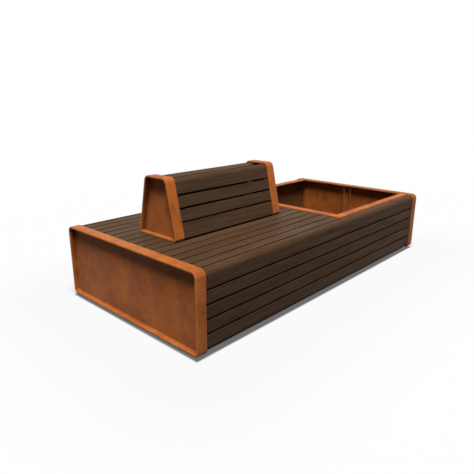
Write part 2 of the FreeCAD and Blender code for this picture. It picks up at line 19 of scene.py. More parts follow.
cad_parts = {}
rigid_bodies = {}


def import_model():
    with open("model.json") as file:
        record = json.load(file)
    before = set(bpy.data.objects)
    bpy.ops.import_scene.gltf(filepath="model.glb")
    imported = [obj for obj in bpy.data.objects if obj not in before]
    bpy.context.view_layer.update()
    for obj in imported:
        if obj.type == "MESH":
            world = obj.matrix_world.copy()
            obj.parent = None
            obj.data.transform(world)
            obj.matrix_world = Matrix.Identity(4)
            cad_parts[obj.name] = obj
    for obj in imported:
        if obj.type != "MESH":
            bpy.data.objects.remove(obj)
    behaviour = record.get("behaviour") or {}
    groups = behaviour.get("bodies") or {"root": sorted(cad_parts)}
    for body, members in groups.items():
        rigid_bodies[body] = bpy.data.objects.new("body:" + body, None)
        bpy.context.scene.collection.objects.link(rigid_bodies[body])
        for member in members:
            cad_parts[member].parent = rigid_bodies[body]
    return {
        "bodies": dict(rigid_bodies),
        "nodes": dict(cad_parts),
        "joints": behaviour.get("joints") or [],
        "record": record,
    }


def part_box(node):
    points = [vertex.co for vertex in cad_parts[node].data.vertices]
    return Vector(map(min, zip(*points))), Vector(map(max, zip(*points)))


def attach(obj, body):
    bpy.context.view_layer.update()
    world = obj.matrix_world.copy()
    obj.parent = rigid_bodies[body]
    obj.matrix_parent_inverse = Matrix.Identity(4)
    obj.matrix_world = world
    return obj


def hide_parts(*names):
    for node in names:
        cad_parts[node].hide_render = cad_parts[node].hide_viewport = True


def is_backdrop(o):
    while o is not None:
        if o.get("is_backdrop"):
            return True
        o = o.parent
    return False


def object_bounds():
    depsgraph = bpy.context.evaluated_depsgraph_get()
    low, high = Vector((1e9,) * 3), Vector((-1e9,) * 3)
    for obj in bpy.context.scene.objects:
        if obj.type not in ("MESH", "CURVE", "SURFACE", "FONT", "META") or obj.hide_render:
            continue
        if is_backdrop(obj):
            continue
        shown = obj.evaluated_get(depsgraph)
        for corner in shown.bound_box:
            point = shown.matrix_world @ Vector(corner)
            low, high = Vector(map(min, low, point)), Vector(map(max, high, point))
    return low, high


LOG = logging.getLogger("bench")
BODY = "root"

Colour = tuple[float, float, float]
Point = tuple[float, float, float]
Range = tuple[float, float]
Socket = bpy.types.NodeSocket

NUMBER = "NodeSocketFloat"
COUNT = "NodeSocketInt"
VECTOR = "NodeSocketVector"
GEOMETRY = "NodeSocketGeometry"

# The Mix node has its sockets for colours behind those for numbers and vectors.
MIX_COLOURS = (6, 7)
MIX_RESULT = 2

ORIGIN: Point = (0.0, 0.0, 0.0)
DOWN: Point = (0.0, 0.0, -1.0)
WHITE = (1.0, 1.0, 1.0, 1.0)


class Slot(Enum):
    """Names of the record's material slots for the scene's own pieces."""

    RUST_STEEL = "rust_steel"
    ZINC_HARDWARE = "zinc_hardware"


class Side(Enum):
    """The two long sides of the bench."""

    FRONT = "front"
    BACK = "back"


def grey(level: float) -> Colour:
    """Return a grey of a level."""
    return (level, level, level)


# ------------------------------------------------------------------ node trees


@dataclass(frozen=True)
class Pattern:
    """A noise: its octaves, how far it is stretched and which of its values its mask keeps."""

    octaves: float
    rough: float = 0.55
    kept: Range = (0.0, 1.0)
    stretch: Point = (1.0, 1.0, 1.0)


class NodeTree:
    """Adds and joins the nodes of one shader or geometry node tree."""

    def __init__(self, tree: bpy.types.NodeTree) -> None:
        """Take over a tree.

        Args:
            tree: The tree that the nodes are added to.
        """
        self.tree = tree

    def add(self, kind: str, **settings: Any) -> bpy.types.Node:
        """Add a node.

        Args:
            kind: The node's type name.
            settings: Properties of the node to set.

        Returns:
            The new node.
        """
        node = self.tree.nodes.new(kind)
        for name, setting in settings.items():
            setattr(node, name, setting)
        return node

    def feed(self, socket: Socket, source: Any) -> None:
        """Give an input either a link or a plain value.

        Args:
            socket: The input socket.
            source: An output socket, or the value to set.
        """
        if isinstance(source, Socket):
            self.tree.links.new(source, socket)
        else:
            socket.default_value = source

    def operate(self, kind: str, operation: str, operands: Sequence[Any]) -> Socket:
        """Add a node that works on one input after the other, and return its result.

        Args:
            kind: The node's type name.
            operation: The operation's name.
            operands: Sockets or plain values, in order.

        Returns:
            The node's output socket.
        """
        node = self.add(kind, operation=operation)
        for socket, operand in zip(node.inputs, operands):
            self.feed(socket, operand)
        return node.outputs[0]

    def math(self, operation: str, *operands: Any) -> Socket:
        """Return the result of a calculation on numbers."""
        return self.operate("ShaderNodeMath", operation, operands)

    def vector_math(self, operation: str, *operands: Any) -> Socket:
        """Return the result of a calculation on vectors."""
        return self.operate("ShaderNodeVectorMath", operation, operands)

    def split(self, vector: Socket) -> bpy.types.NodeOutputs:
        """Split a vector.

        Args:
            vector: The vector's socket.

        Returns:
            The sockets of its parts, by the names X, Y and Z.
        """
        parts = self.add("ShaderNodeSeparateXYZ")
        self.feed(parts.inputs[0], vector)
        return parts.outputs

    def remap(self, value: Any, low: Any, high: Any, start: Any = 0.0, end: Any = 1.0) -> Socket:
        """Map a value smoothly from one range to another.

        Args:
            value: The value or socket to map.
            low: Lower end of the incoming range.
            high: Upper end of the incoming range.
            start: Result at the lower end.
            end: Result at the upper end.

        Returns:
            The mapped value's socket.
        """
        node = self.add("ShaderNodeMapRange", interpolation_type="SMOOTHSTEP")
        for socket, operand in zip(node.inputs, (value, low, high, start, end)):
            self.feed(socket, operand)
        return node.outputs[0]

    def blend(self, factor: Any, first: Any, second: Any, mode: str = "MIX") -> Socket:
        """Blend two colours.

        Args:
            factor: Share of the second colour.
            first: First colour or socket.
            second: Second colour or socket.
            mode: The blend type.

        Returns:
            The blended colour's socket.
        """
        node = self.add("ShaderNodeMix", data_type="RGBA", blend_type=mode)
        self.feed(node.inputs[0], factor)
        for index, colour in zip(MIX_COLOURS, (first, second)):
            if isinstance(colour, tuple):
                colour = (*colour, 1.0)
            self.feed(node.inputs[index], colour)
        return node.outputs[MIX_RESULT]

    def lay(self, colour: Any, over: Colour, mask: Socket, share: float) -> Socket:
        """Lay a colour over another one where a mask is set.

        Args:
            colour: The colour or socket below.
            over: The colour that is laid over it.
            mask: Where it is laid.
            share: How much of it shows where the mask is full.

        Returns:
            The resulting colour's socket.
        """
        return self.blend(self.math("MULTIPLY", mask, share), colour, over)

    def tint(self, colour: Socket, factor: Colour) -> Socket:
        """Return a colour with each channel multiplied by its own factor."""
        return self.blend(1.0, colour, factor, "MULTIPLY")

    def noise(self, vector: Socket, pattern: Pattern, scale: Any = 1.0) -> Socket:
        """Add a noise texture.

        Args:
            vector: Where the noise is read, already stretched.
            pattern: It gives the octaves and their roughness.
            scale: Scale of the noise as a whole.

        Returns:
            The socket of the noise's grey value.
        """
        node = self.add("ShaderNodeTexNoise")
        self.feed(node.inputs["Vector"], vector)
        self.feed(node.inputs["Scale"], scale)
        node.inputs["Detail"].default_value = pattern.octaves
        node.inputs["Roughness"].default_value = pattern.rough
        return node.outputs[0]

    def stretch(self, vector: Socket, pattern: Pattern, move: Any = ORIGIN) -> Socket:
        """Scale coordinates as a pattern asks and move them.

        Args:
            vector: The incoming coordinates.
            pattern: It gives the factor along each axis.
            move: Shift after scaling, as numbers or a socket.

        Returns:
            The mapped coordinates' socket.
        """
        return self.vector_math("ADD", self.vector_math("MULTIPLY", vector, pattern.stretch), move)


class ShaderGroup:
    """A shader effect that several finishes share, built once."""

    def __init__(
        self,
        name: str,
        inputs: dict[str, tuple[str, Any]],
        outputs: Sequence[str],
    ) -> None:
        """Open the group's tree and its sockets.

        Args:
            name: Name of the effect.
            inputs: Socket kind and default value by input name.
            outputs: Name of each output; all of them are numbers.
        """
        self.group = bpy.data.node_groups.new(name, "ShaderNodeTree")
        for label, (kind, default) in inputs.items():
            socket = self.group.interface.new_socket(label, in_out="INPUT", socket_type=kind)
            if default is not None:
                socket.default_value = default
        for label in outputs:
            self.group.interface.new_socket(label, in_out="OUTPUT", socket_type=NUMBER)
        self.nodes = NodeTree(self.group)
        self.inputs = self.nodes.add("NodeGroupInput").outputs
        self.outputs = self.nodes.add("NodeGroupOutput").inputs

    def place(self, nodes: NodeTree, **values: Any) -> bpy.types.NodeOutputs:
        """Place the group in a material.

        Args:
            nodes: The material's tree.
            values: Value or socket for each input, with underscores for spaces.

        Returns:
            The group's outputs.
        """
        node = nodes.add("ShaderNodeGroup", node_tree=self.group)
        for name, value in values.items():
            nodes.feed(node.inputs[name.replace("_", " ")], value)
        return node.outputs

    def put_out(self, name: str, noise: Socket, pattern: Pattern) -> None:
        """Put out a noise as a mask of the values that its pattern keeps."""
        self.nodes.feed(self.outputs[name], self.nodes.remap(noise, *pattern.kept))


BLOTCH = Pattern(octaves=6.0, rough=0.62, kept=(0.39, 0.62))
SPECK = Pattern(octaves=3.0, rough=0.6, kept=(0.42, 0.68))
STREAK = Pattern(octaves=3.0, kept=(0.48, 0.68), stretch=(20.0, 20.0, 1.6))
WASH = Pattern(octaves=4.0, rough=0.6, kept=(0.46, 0.66), stretch=(11.0, 11.0, 5.0))
WASH_MOVE: Point = (4.0, 2.0, 7.0)
SPECK_HEIGHT = 0.7


def rust_bloom_group() -> ShaderGroup:
    """Build the blotches, specks, rain streaks and pale patches of rusted steel.

    Returns:
        The group; it puts out a mask of each and a height for the bump.
    """
    group = ShaderGroup(
        "rust_bloom",
        {"Vector": (VECTOR, None), "Blotch Scale": (NUMBER, 7.0), "Speck Scale": (NUMBER, 160.0)},
        ("Blotch", "Speck", "Streak", "Wash", "Height"),
    )
    nodes, vector = group.nodes, group.inputs["Vector"]
    blotch = nodes.noise(vector, BLOTCH, group.inputs["Blotch Scale"])
    speck = nodes.noise(vector, SPECK, group.inputs["Speck Scale"])
    streak = nodes.noise(nodes.stretch(vector, STREAK), STREAK)
    wash = nodes.noise(nodes.stretch(vector, WASH, WASH_MOVE), WASH)
    group.put_out("Blotch", blotch, BLOTCH)
    group.put_out("Speck", speck, SPECK)
    group.put_out("Streak", streak, STREAK)
    group.put_out("Wash", wash, WASH)
    height = nodes.math("ADD", nodes.math("MULTIPLY", speck, SPECK_HEIGHT), blotch)
    nodes.feed(group.outputs["Height"], height)
    return group


EDGE_CORE, EDGE_FADE = 0.6, 1.8


def edge_line_group() -> ShaderGroup:
    """Build the mask of a line that follows the two edges of a strip laid across X.

    Returns:
        The group; its mask is 1 near the edges and falls to 0 within twice the width.
    """
    group = ShaderGroup(
        "edge_line",
        {
            "Vector": (VECTOR, None),
            "Low": (NUMBER, 0.0),
            "High": (NUMBER, 1.0),
            "Width": (NUMBER, 0.004),
        },
        ("Mask",),
    )
    nodes, given = group.nodes, group.inputs
    along = nodes.split(given["Vector"])["X"]
    to_ends = [nodes.math("SUBTRACT", along, given[end]) for end in ("Low", "High")]
    near = nodes.math("MINIMUM", *(nodes.math("ABSOLUTE", offset) for offset in to_ends))
    core, fade = (nodes.math("MULTIPLY", given["Width"], part) for part in (EDGE_CORE, EDGE_FADE))
    nodes.feed(group.outputs["Mask"], nodes.remap(near, core, fade, 1.0, 0.0))
    return group


WAVE = Pattern(octaves=2.0, stretch=(1.1, 5.0, 5.0))
GRAIN = Pattern(octaves=4.0, rough=0.65, kept=(0.34, 0.68), stretch=(3.5, 110.0, 110.0))
PORE = Pattern(octaves=2.0, kept=(0.56, 0.72), stretch=(45.0, 260.0, 260.0))
CLOUD = Pattern(octaves=3.0, kept=(0.32, 0.68), stretch=(1.8, 9.0, 9.0))
GRAIN_SWELL = {"Y": 3.0, "Z": 2.0}
PORE_DEPTH = 0.5


def timber_grain_group() -> ShaderGroup:
    """Build the long grain, fine pores and slow colour change of a planed board.

    Returns:
        The group; it puts out a mask of each and a height for the bump.
    """
    group = ShaderGroup(
        "timber_grain",
        {"Vector": (VECTOR, None), "Board": (VECTOR, ORIGIN)},
        ("Grain", "Pore", "Cloud", "Height"),
    )
    nodes, vector, board = group.nodes, group.inputs["Vector"], group.inputs["Board"]
    wave = nodes.noise(nodes.stretch(vector, WAVE, board), WAVE)
    swell = nodes.add("ShaderNodeCombineXYZ")
    for axis, reach in GRAIN_SWELL.items():
        nodes.feed(swell.inputs[axis], nodes.math("MULTIPLY", wave, reach))
    bent = nodes.vector_math("ADD", nodes.stretch(vector, GRAIN, board), swell.outputs[0])
    grain = nodes.noise(bent, GRAIN)
    pore = nodes.noise(nodes.stretch(vector, PORE, board), PORE)
    cloud = nodes.noise(nodes.stretch(vector, CLOUD, board), CLOUD)
    group.put_out("Grain", grain, GRAIN)
    group.put_out("Pore", pore, PORE)
    group.put_out("Cloud", cloud, CLOUD)
    height = nodes.math("SUBTRACT", grain, nodes.math("MULTIPLY", pore, PORE_DEPTH))
    nodes.feed(group.outputs["Height"], height)
    return group


def footprint_group() -> ShaderGroup:
    """Build the distance from the edge of a rectangle that is centred on the origin.

    Returns:
        The group; the edge distance is below 0 inside, the outer distance is 0 there.
    """
    group = ShaderGroup(
        "footprint",
        {"Vector": (VECTOR, None), "Half Length": (NUMBER, 1.0), "Half Width": (NUMBER, 0.5)},
        ("Edge", "Outer"),
    )
    nodes = group.nodes
    parts = nodes.split(group.inputs["Vector"])
    beyond = [
        nodes.math("SUBTRACT", nodes.math("ABSOLUTE", parts[axis]), group.inputs[half])
        for axis, half in (("X", "Half Length"), ("Y", "Half Width"))
    ]
    squares = [nodes.math("POWER", nodes.math("MAXIMUM", far, 0.0), 2.0) for far in beyond]
    nodes.feed(group.outputs["Edge"], nodes.math("MAXIMUM", *beyond))
    nodes.feed(group.outputs["Outer"], nodes.math("SQRT", nodes.math("ADD", *squares)))
    return group


WAVER = Pattern(octaves=3.0)
WAVER_SCALE = 9.0
WAVER_REACH = 0.02
PAINTED_SHADE_FADE = 0.02


def painted_shade_group() -> ShaderGroup:
    """Build the mask of painted shade on the walls of a planter.

    Returns:
        The group; its mask is 1 below a wavering level and 0 above it.
    """
    group = ShaderGroup(
        "painted_planter_shade", {"Vector": (VECTOR, None), "Level": (NUMBER, 0.4)}, ("Mask",)
    )
    nodes, given = group.nodes, group.inputs
    waver = nodes.math("MULTIPLY", nodes.noise(given["Vector"], WAVER, WAVER_SCALE), WAVER_REACH)
    level = nodes.math("SUBTRACT", given["Level"], waver)
    depth = nodes.math("SUBTRACT", level, nodes.split(given["Vector"])["Z"])
    nodes.feed(group.outputs["Mask"], nodes.remap(depth, 0.0, PAINTED_SHADE_FADE))
    return group


def upward_group() -> ShaderGroup:
    """Build a mask of the faces that look up, which the finishes darken as painted shade.

    Returns:
        The group; the mask is 1 on level faces and 0 on upright ones.
    """
    group = ShaderGroup("upward_faces", {"Vector": (VECTOR, None)}, ("Mask",))
    nodes = group.nodes
    lift = nodes.remap(nodes.split(group.inputs["Vector"])["Z"], 0.0, 1.0)
    nodes.feed(group.outputs["Mask"], nodes.math("SQRT", lift))
    return group


@dataclass
class SharedEffects:
    """The shader groups that the finishes draw on."""

    rust: ShaderGroup = field(default_factory=rust_bloom_group)
    edge: ShaderGroup = field(default_factory=edge_line_group)
    grain: ShaderGroup = field(default_factory=timber_grain_group)
    footprint: ShaderGroup = field(default_factory=footprint_group)
    upward: ShaderGroup = field(default_factory=upward_group)
    painted_shade: ShaderGroup = field(default_factory=painted_shade_group)


# ------------------------------------------------------------------ finishes


@dataclass(frozen=True)
class Relief:
    """A bump: its strength and its height."""

    strength: float
    height: float


class Surface:
    """A new material with a Principled shader and object coordinates."""

    def __init__(self, name: str) -> None:
        """Open the material.

        Args:
            name: Name of the material.
        """
        self.material = bpy.data.materials.new(name)
        self.material.use_nodes = True
        self.nodes = NodeTree(self.material.node_tree)
        self.shader = self.find("BSDF_PRINCIPLED")
        self.place = self.nodes.add("ShaderNodeTexCoord").outputs["Object"]

    def find(self, kind: str) -> bpy.types.Node:
        """Return the material's node of a type."""
        return next(node for node in self.nodes.tree.nodes if node.type == kind)

    def vary(self, name: str, source: Socket) -> None:
        """Lead a value that changes over the surface to an input of the shader."""
        self.nodes.feed(self.shader.inputs[name], source)

    def set_even(self, **values: Any) -> None:
        """Set inputs of the shader that are the same all over the surface.

        Args:
            values: Value by input name, with underscores for spaces.
        """
        for name, value in values.items():
            self.shader.inputs[name.replace("_", " ")].default_value = value

    def raise_by(self, height: Socket, relief: Relief) -> None:
        """Raise the surface by a height.

        Args:
            height: The height's socket.
            relief: Strength and height of the bump.
        """
        bump = self.nodes.add("ShaderNodeBump")
        bump.inputs["Strength"].default_value = relief.strength
        bump.inputs["Distance"].default_value = relief.height
        self.nodes.feed(bump.inputs["Height"], height)
        self.vary("Normal", bump.outputs[0])

    def upward(self, effects: SharedEffects) -> Socket:
        """Return the mask of the faces that look up."""
        normal = self.nodes.add("ShaderNodeNewGeometry").outputs["Normal"]
        return effects.upward.place(self.nodes, Vector=normal)["Mask"]


@dataclass(frozen=True)
class RustSteel:
    """Weathering steel in its orange-brown coat of rust.

    Upper faces get painted shade that darkens them, edges are the ends along X that get a paler
    line of painted highlight, the shade level is the height below which painted shade darkens the
    steel, and tone makes a piece lighter or darker as a whole.
    """

    name: str
    deep: Colour = (0.52, 0.123, 0.020)
    body: Colour = (0.82, 0.204, 0.030)
    bright: Colour = (0.95, 0.312, 0.063)
    speck_share: float = 0.45
    streak_share: float = 0.34
    wash_share: float = 0.40
    # Colour and share of the painted highlight along the edges.
    edge: Colour = (0.92, 0.33, 0.09)
    edges: Range | None = None
    edge_highlight_share: float = 0.28
    # Colour and share of the painted shade inside the planter, below its level.
    painted_shade: Colour = (0.26, 0.085, 0.024)
    painted_shade_level: float | None = None
    painted_shade_share: float = 0.85
    # How much painted shade darkens the faces that look up.
    top_shade_factor: float = 0.65
    tone: float = 1.0
    bounce: float = 0.12
    roughness: Range = (0.54, 0.70)
    specular: float = 0.18
    sheen: float = 0.09
    sheen_roughness: float = 0.5
    relief: Relief = Relief(0.35, 0.0012)

    def build(self, effects: SharedEffects) -> bpy.types.Material:
        """Make the material.

        Args:
            effects: The shared shader groups.

        Returns:
            The material.
        """
        surface = Surface(self.name)
        nodes, place = surface.nodes, surface.place
        bloom = effects.rust.place(nodes, Vector=place)
        colour = nodes.blend(bloom["Blotch"], self.deep, self.body)
        colour = nodes.lay(colour, self.bright, bloom["Speck"], self.speck_share)
        colour = nodes.lay(colour, self.deep, bloom["Streak"], self.streak_share)
        colour = nodes.lay(colour, self.bright, bloom["Wash"], self.wash_share)
        # Painted highlight: a paler line along the band's two edges stands in for the light on its
        # eased edges.
        if self.edges is not None:
            low, high = self.edges
            line = effects.edge.place(nodes, Vector=place, Low=low, High=high)
            colour = nodes.lay(colour, self.edge, line["Mask"], self.edge_highlight_share)
        # Painted shade: below the level the steel is darkened, standing in for the shade inside
        # the planter.
        if self.painted_shade_level is not None:
            below = effects.painted_shade.place(nodes, Vector=place, Level=self.painted_shade_level)
            colour = nodes.lay(colour, self.painted_shade, below["Mask"], self.painted_shade_share)
        # Painted shade: faces that look up are darkened, standing in for how the light falls on
        # them.
        top_shade_factor = nodes.tint(colour, grey(self.top_shade_factor))
        colour = nodes.blend(surface.upward(effects), colour, top_shade_factor)
        colour = nodes.tint(colour, grey(self.tone))
        surface.vary("Base Color", self.dim_bounces(nodes, colour))
        surface.vary("Roughness", nodes.remap(bloom["Speck"], 0.0, 1.0, *self.roughness))
        surface.set_even(
            Specular_IOR_Level=self.specular,
            Sheen_Weight=self.sheen,
            Sheen_Roughness=self.sheen_roughness,
        )
        surface.raise_by(bloom["Height"], self.relief)
        return surface.material

    def dim_bounces(self, nodes: NodeTree, colour: Socket) -> Socket:
        """Darken the steel for rays that have bounced, so that inside corners stay deep.

        Args:
            nodes: The material's tree.
            colour: The steel's colour.

        Returns:
            The colour's socket, dimmed for such rays.
        """
        path = nodes.add("ShaderNodeLightPath").outputs
        bounced = nodes.math("MAXIMUM", path["Is Diffuse Ray"], path["Is Glossy Ray"])
        return nodes.blend(bounced, colour, nodes.tint(colour, grey(self.bounce)))


@dataclass(frozen=True)
class StainedTimber:
    """Planed hardwood under a dark brown stain, with painted shade darkening its upper faces.

    Board moves the grain, so that no two boards are alike.
    """

    name: str
    dark: Colour = (0.065, 0.0360, 0.0193)
    body: Colour = (0.130, 0.0715, 0.0405)
    pale: Colour = (0.161, 0.0915, 0.0540)
    grain_share: float = 0.60
    pore_share: float = 0.50
    # Tint of the painted shade on the faces that look up.
    top_shade_tint: Colour = (0.71, 0.66, 0.555)
    tone: float = 1.0
    board: Point = ORIGIN
    roughness: Range = (0.52, 0.70)
    specular: float = 0.06
    relief: Relief = Relief(0.30, 0.0008)

    def build(self, effects: SharedEffects) -> bpy.types.Material:
        """Make the material.

        Args:
            effects: The shared shader groups.

        Returns:
            The material.
        """
        surface = Surface(self.name)
        nodes = surface.nodes
        dark, body, pale = (self.toned(colour) for colour in (self.dark, self.body, self.pale))
        grain = effects.grain.place(nodes, Vector=surface.place, Board=self.board)
        colour = nodes.blend(grain["Cloud"], body, pale)
        colour = nodes.lay(colour, dark, grain["Grain"], self.grain_share)
        colour = nodes.lay(colour, dark, grain["Pore"], self.pore_share)
        # Painted shade: faces that look up are darkened, standing in for how the light falls on
        # them.
        top_shade_tint = nodes.tint(colour, self.top_shade_tint)
        surface.vary("Base Color", nodes.blend(surface.upward(effects), colour, top_shade_tint))
        surface.vary("Roughness", nodes.remap(grain["Grain"], 0.0, 1.0, *self.roughness))
        surface.set_even(Specular_IOR_Level=self.specular)
        surface.raise_by(grain["Height"], self.relief)
        return surface.material

    def toned(self, colour: Colour) -> Colour:
        """Return a colour of this board, made lighter or darker by its tone."""
        return tuple(channel * self.tone for channel in colour)


BARE_TIMBER = StainedTimber(
    "bare_timber_formers",
    dark=(0.16, 0.10, 0.055),
    body=(0.30, 0.20, 0.12),
    pale=(0.38, 0.27, 0.17),
)


@dataclass(frozen=True)
class FramePaint:
    """Matt dark brown primer on the hidden frame, with patches of dust."""

    name: str = "frame_primer"
    body: Colour = (0.085, 0.060, 0.042)
    dusty: Colour = (0.160, 0.115, 0.080)
    dust_share: float = 0.5
    blotch_scale: float = 12.0
    speck_scale: float = 420.0
    roughness: Range = (0.48, 0.66)
    relief: Relief = Relief(0.15, 0.0004)

    def build(self, effects: SharedEffects) -> bpy.types.Material:
        """Make the material.

        Args:
            effects: The shared shader groups.

        Returns:
            The material.
        """
        surface = Surface(self.name)
        nodes = surface.nodes
        bloom = effects.rust.place(
            nodes,
            Vector=surface.place,
            Blotch_Scale=self.blotch_scale,
            Speck_Scale=self.speck_scale,
        )
        colour = nodes.lay(self.body, self.dusty, bloom["Blotch"], self.dust_share)
        surface.vary("Base Color", colour)
        surface.vary("Roughness", nodes.remap(bloom["Speck"], 0.0, 1.0, *self.roughness))
        surface.raise_by(bloom["Height"], self.relief)
        return surface.material


@dataclass(frozen=True)
class ZincPlate:
    """Zinc-plated steel with a faint cloudy spangle."""

    name: str = "zinc_hardware"
    dull: Colour = (0.42, 0.42, 0.43)
    bright: Colour = (0.62, 0.62, 0.64)
    blotch_scale: float = 70.0
    speck_scale: float = 900.0
    roughness: Range = (0.42, 0.30)
    metallic: float = 0.9
    relief: Relief = Relief(0.08, 0.0002)

    def build(self, effects: SharedEffects) -> bpy.types.Material:
        """Make the material.

        Args:
            effects: The shared shader groups.

        Returns:
            The material.
        """
        surface = Surface(self.name)
        nodes = surface.nodes
        bloom = effects.rust.place(
            nodes,
            Vector=surface.place,
            Blotch_Scale=self.blotch_scale,
            Speck_Scale=self.speck_scale,
        )
        surface.vary("Base Color", nodes.blend(bloom["Blotch"], self.dull, self.bright))
        surface.vary("Roughness", nodes.remap(bloom["Blotch"], 0.0, 1.0, *self.roughness))
        surface.set_even(Metallic=self.metallic)
        surface.raise_by(bloom["Height"], self.relief)
        return surface.material


@dataclass(frozen=True)
class StudioFloor:
    """Matt white floor with a painted shadow under the bench and painted shade close to it; it
    fades to white far away.

    Rays that have bounced see its bounce in place of its white, so that it throws little light
    up at the bench. The footprint and what it overhangs are half sizes along X and Y.
    """

    footprint: Range
    name: str = "studio_white"
    white: float = 0.685
    bounce: float = 0.006
    glow: float = 0.205
    # Glow under the bench, which paints its shadow.
    under: float = 0.15
    overhang: Range = (0.004, -0.003)
    softness: float = 0.009
    # Painted shade near the bench: how much the glow dips and how far out it reaches.
    painted_shade_dip: float = 0.055
    near_reach: float = 0.9
    fade: Range = (1.8, 5.0)
    mirror_depth: float = 1.5

    def build(self, effects: SharedEffects) -> bpy.types.Material:
        """Make the material.

        Args:
            effects: The shared shader groups.

        Returns:
            The material.
        """
        surface = Surface(self.name)
        nodes = surface.nodes
        path = nodes.add("ShaderNodeLightPath").outputs
        camera = path["Is Camera Ray"]
        half_length, half_width = (
            half + more for half, more in zip(self.footprint, self.overhang)
        )
        spot = effects.footprint.place(
            nodes, Vector=surface.place, Half_Length=half_length, Half_Width=half_width
        )
        # Painted shadow: under the bench's footprint the floor is darkened to stand in for its
        # shade.
        painted_shadow = nodes.remap(spot["Edge"], -self.softness, self.softness, 1.0, 0.0)
        open_floor = nodes.math("SUBTRACT", 1.0, painted_shadow)
        bright = nodes.math("MULTIPLY", self.seen(nodes, path), open_floor)
        surface.vary("Base Color", nodes.blend(bright, grey(self.bounce), grey(self.white)))
        glow = self.glow_with_painted_shade(nodes, spot["Outer"], painted_shadow)
        surface.vary("Emission Strength", nodes.math("MULTIPLY", camera, glow))
        surface.set_even(Emission_Color=WHITE, Roughness=1.0, Specular_IOR_Level=0.0)
        away = nodes.remap(spot["Outer"], *self.fade)
        white = nodes.add("ShaderNodeEmission")
        mixed = nodes.add("ShaderNodeMixShader")
        for socket, source in zip(
            mixed.inputs,
            (nodes.math("MULTIPLY", away, camera), surface.shader.outputs[0], white.outputs[0]),
        ):
            nodes.feed(socket, source)
        nodes.feed(surface.find("OUTPUT_MATERIAL").inputs["Surface"], mixed.outputs[0])
        return surface.material

    def seen(self, nodes: NodeTree, path: bpy.types.NodeOutputs) -> Socket:
        """Find the rays that see the floor white.

        They are the camera's, a first reflection's and those that pass through a surface.

        Args:
            nodes: The material's tree.
            path: Outputs of its Light Path node.

        Returns:
            The socket of a value that is 1 for those rays.
        """
        first = nodes.math("LESS_THAN", path["Ray Depth"], self.mirror_depth)
        seen = nodes.math("MULTIPLY", path["Is Glossy Ray"], first)
        seen = nodes.math("MAXIMUM", seen, path["Is Transmission Ray"])
        return nodes.math("MAXIMUM", seen, path["Is Camera Ray"])

    def glow_with_painted_shade(self, nodes: NodeTree, outer: Socket, painted_shadow: Socket) -> Socket:
        """Dim the floor's glow near the bench as painted shade, and more under it as painted
        shadow.

        Args:
            nodes: The material's tree.
            outer: Distance from the footprint.
            painted_shadow: Mask of the footprint.

        Returns:
            The glow's socket.
        """
        dip = nodes.remap(outer, 0.0, self.near_reach, self.painted_shade_dip, 0.0)
        glow = nodes.math("SUBTRACT", self.glow, dip)
        change = self.under - self.glow + self.painted_shade_dip
        return nodes.math("ADD", glow, nodes.math("MULTIPLY", painted_shadow, change))


# ------------------------------------------------------------------ pieces


def add_object(name: str, data: bpy.types.ID) -> bpy.types.Object:
    """Add an object to the scene.

    Args:
        name: Name of the object.
        data: Its mesh, lamp or camera.

    Returns:
        The object.
    """
    added = bpy.data.objects.new(name, data)
    bpy.context.scene.collection.objects.link(added)
    return added


def dress_mesh(mesh: bpy.types.Mesh, material: bpy.types.Material) -> None:
    """Give a mesh one finish in place of what it had."""
    mesh.materials.clear()
    mesh.materials.append(material)


def new_piece(name: str, mesh: bpy.types.Mesh, slot: Slot) -> bpy.types.Object:
    """Enter a finished mesh as a piece of the bench.

    Args:
        name: Name of the piece.
        mesh: Its mesh, in the bench's own frame.
        slot: The record's material slot that it belongs to; it is not used.

    Returns:
        The piece.
    """
    piece = add_object(name, mesh)
    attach(piece, BODY)
    LOG.info("%s: %d faces", name, len(mesh.polygons))
    return piece


def settle(working: bpy.types.Object, name: str) -> bpy.types.Mesh:
    """Turn a working object with its modifiers into one plain mesh.

    Args:
        working: The object; it is removed.
        name: Name of the new mesh.

    Returns:
        The mesh.
    """
    graph = bpy.context.evaluated_depsgraph_get()
    mesh = bpy.data.meshes.new_from_object(working.evaluated_get(graph))
    mesh.name = name
    bpy.data.objects.remove(working)
    return mesh


def smooth_by_angle(mesh: bpy.types.Mesh, degrees: float) -> None:
    """Shade a mesh smooth, but keep its sharper edges sharp.

    Args:
        mesh: The mesh.
        degrees: Edges that turn by more than this stay sharp.
    """
    for polygon in mesh.polygons:
        polygon.use_smooth = True
    mesh.set_sharp_from_angle(angle=math.radians(degrees))


@dataclass
class EasedBand:
    """A steel band rebuilt with eased edges, as rolled bar has them; angles are in degrees."""

    node: str
    radius: float = 0.0025
    steps: int = 3
    merge_gap: float = 0.00002
    flat_angle: float = 0.4
    eased_angle: float = 40.0
    sharp_angle: float = 42.0

    def build(self, source: bpy.types.Object, material: bpy.types.Material) -> None:
        """Copy the node, merge its triangles, ease its sharp edges and let it replace the node.

        Args:
            source: The node's object.
            material: The finish.
        """
        working = add_object(f"{self.node}_working", source.data.copy())
        weld = working.modifiers.new("weld", "WELD")
        weld.merge_threshold = self.merge_gap
        flat = working.modifiers.new("flat", "DECIMATE")
        flat.decimate_type = "DISSOLVE"
        flat.angle_limit = math.radians(self.flat_angle)
        ease = working.modifiers.new("ease", "BEVEL")
        ease.width = self.radius
        ease.segments = self.steps
        ease.limit_method = "ANGLE"
        ease.angle_limit = math.radians(self.eased_angle)
        ease.use_clamp_overlap = True
        name = f"{self.node}_eased"
        eased = settle(working, name)
        dress_mesh(eased, material)
        smooth_by_angle(eased, self.sharp_angle)
        piece = new_piece(name, eased, Slot.RUST_STEEL)
        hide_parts(self.node)


